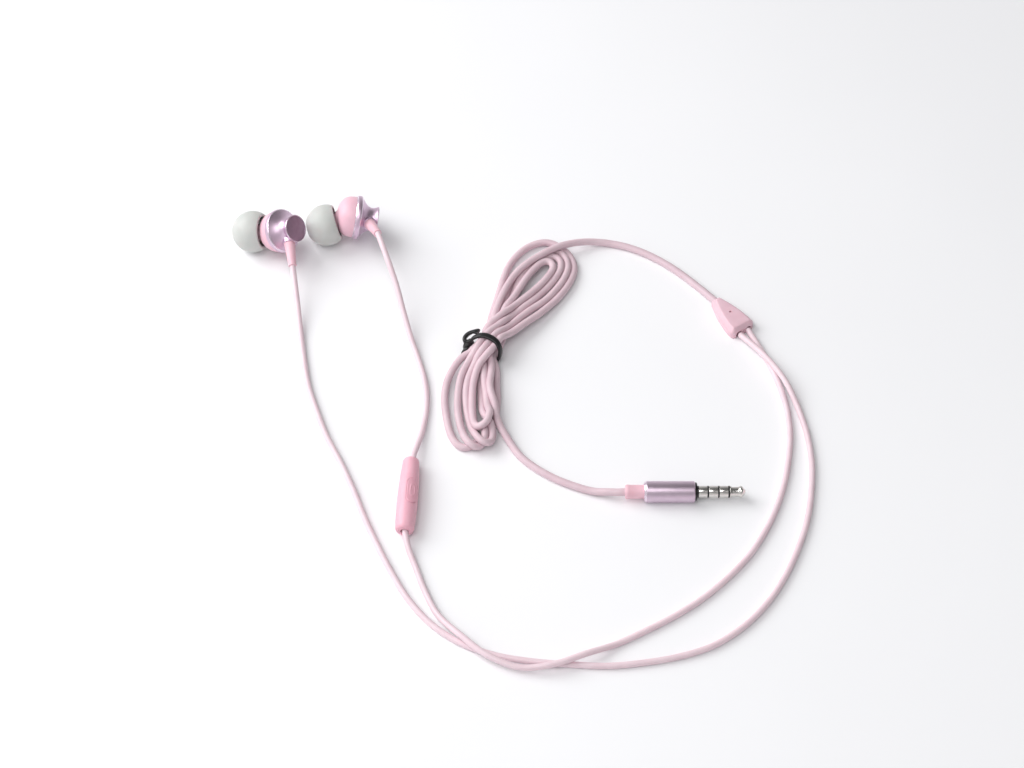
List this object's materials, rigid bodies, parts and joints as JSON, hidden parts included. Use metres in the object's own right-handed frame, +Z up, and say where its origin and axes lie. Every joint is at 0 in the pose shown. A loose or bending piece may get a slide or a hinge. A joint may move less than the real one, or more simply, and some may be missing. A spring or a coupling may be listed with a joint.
{
  "type": "wired earphones",
  "caption": "Wired in-ear earphones with silicone tips, metal housings, inline remote, Y splitter, hanked cord and a four-contact jack plug.",
  "frame": {"origin": "on the surface that the set lies on, under the middle of the box round the two earbuds", "axes": "+X along the pair of earbuds and along the plug's pin, +Y away from the loop of cord, +Z up"},
  "size_m": [0.1759, 0.167, 0.016],
  "materials": {
    "silicone_tip": "satin silicone",
    "nozzle_mesh": "fine woven mesh",
    "pink_plastic": "moulded gloss",
    "driver_steel": "stamped",
    "diaphragm_film": "formed film",
    "copper_winding": "enamelled copper wire",
    "magnet": "plated",
    "circuit_board": "solder mask",
    "anodised_metal": "rose-lilac anodised, polished edge",
    "brushed_cap": "anodised, finely turned",
    "pink_rubber": "satin",
    "pink_remote": "satin moulded",
    "pink_button": "satin moulded",
    "switch_steel": "stamped",
    "pink_splitter": "satin moulded",
    "anodised_barrel": "rose-lilac anodised, fine grain",
    "black_plastic": "moulded",
    "contact_plating": "nickel plated",
    "black_rubber": "satin",
    "pink_branch_cord": "matte jacket",
    "pink_main_cord": "matte jacket"
  },
  "bodies": {
    "root": {"nozzle_screen_left": "nozzle_mesh", "front_housing_left": "pink_plastic", "driver_frame_left": "driver_steel", "pole_plate_left": "driver_steel", "magnet_left": "magnet", "yoke_left": "driver_steel", "driver_board_left": "circuit_board", "rear_housing_left": "anodised_metal", "end_cap_left": "brushed_cap", "strain_relief_left": "pink_rubber", "nozzle_screen_right": "nozzle_mesh", "front_housing_right": "pink_plastic", "driver_frame_right": "driver_steel", "pole_plate_right": "driver_steel", "magnet_right": "magnet", "yoke_right": "driver_steel", "driver_board_right": "circuit_board", "rear_housing_right": "anodised_metal", "end_cap_right": "brushed_cap", "strain_relief_right": "pink_rubber", "remote_upper_shell": "pink_remote", "remote_lower_shell": "pink_remote", "remote_dome_switch": "switch_steel", "remote_board": "circuit_board", "splitter_top_shell": "pink_splitter", "splitter_bottom_shell": "pink_splitter", "microphone": "switch_steel", "microphone_board": "circuit_board", "plug_strain_relief": "pink_rubber", "plug_barrel": "anodised_barrel", "plug_insulator": "black_plastic", "plug_sleeve_contact": "contact_plating", "plug_ring_contact_2": "contact_plating", "plug_ring_contact_1": "contact_plating", "plug_tip_contact": "contact_plating", "hank_tie": "black_rubber", "cord_left": "pink_branch_cord", "cord_right_upper": "pink_branch_cord", "cord_right_lower": "pink_branch_cord", "cord_main_upper": "pink_main_cord", "cord_hank": "pink_main_cord", "cord_main_lower": "pink_main_cord"},
    "ear_tip_left_body": {"ear_tip_left": "silicone_tip"},
    "ear_tip_right_body": {"ear_tip_right": "silicone_tip"},
    "diaphragm_left_body": {"diaphragm_left": "diaphragm_film", "voice_coil_left": "copper_winding"},
    "diaphragm_right_body": {"diaphragm_right": "diaphragm_film", "voice_coil_right": "copper_winding"},
    "remote_button_body": {"remote_button": "pink_button"}
  },
  "joints": [
    {"name": "ear_tip_left_turn", "type": "hinge", "parent": "root", "child": "ear_tip_left_body", "pos_m": [-0.01711, 0.00195, 0.00652], "axis": [-0.9603, 0.1772, -0.2156], "continuous": true},
    {"name": "ear_tip_right_turn", "type": "hinge", "parent": "root", "child": "ear_tip_right_body", "pos_m": [0.00577, 0.00467, 0.00652], "axis": [-0.9615, -0.1901, -0.1986], "continuous": true},
    {"name": "voice_coil_left_stroke", "type": "slide", "parent": "root", "child": "diaphragm_left_body", "axis": [0.7438, -0.3445, 0.5727], "range_m": [-0.0002, 0.0002], "stiffness_N_per_m": 150},
    {"name": "voice_coil_right_stroke", "type": "slide", "parent": "root", "child": "diaphragm_right_body", "axis": [0.9799, -0.0203, -0.1986], "range_m": [-0.0002, 0.0002], "stiffness_N_per_m": 150},
    {"name": "remote_button_press", "type": "slide", "parent": "root", "child": "remote_button_body", "axis": [-0.4688, 0.0246, -0.8829], "range_m": [0, 0.0003], "stiffness_N_per_m": 4000}
  ]
}
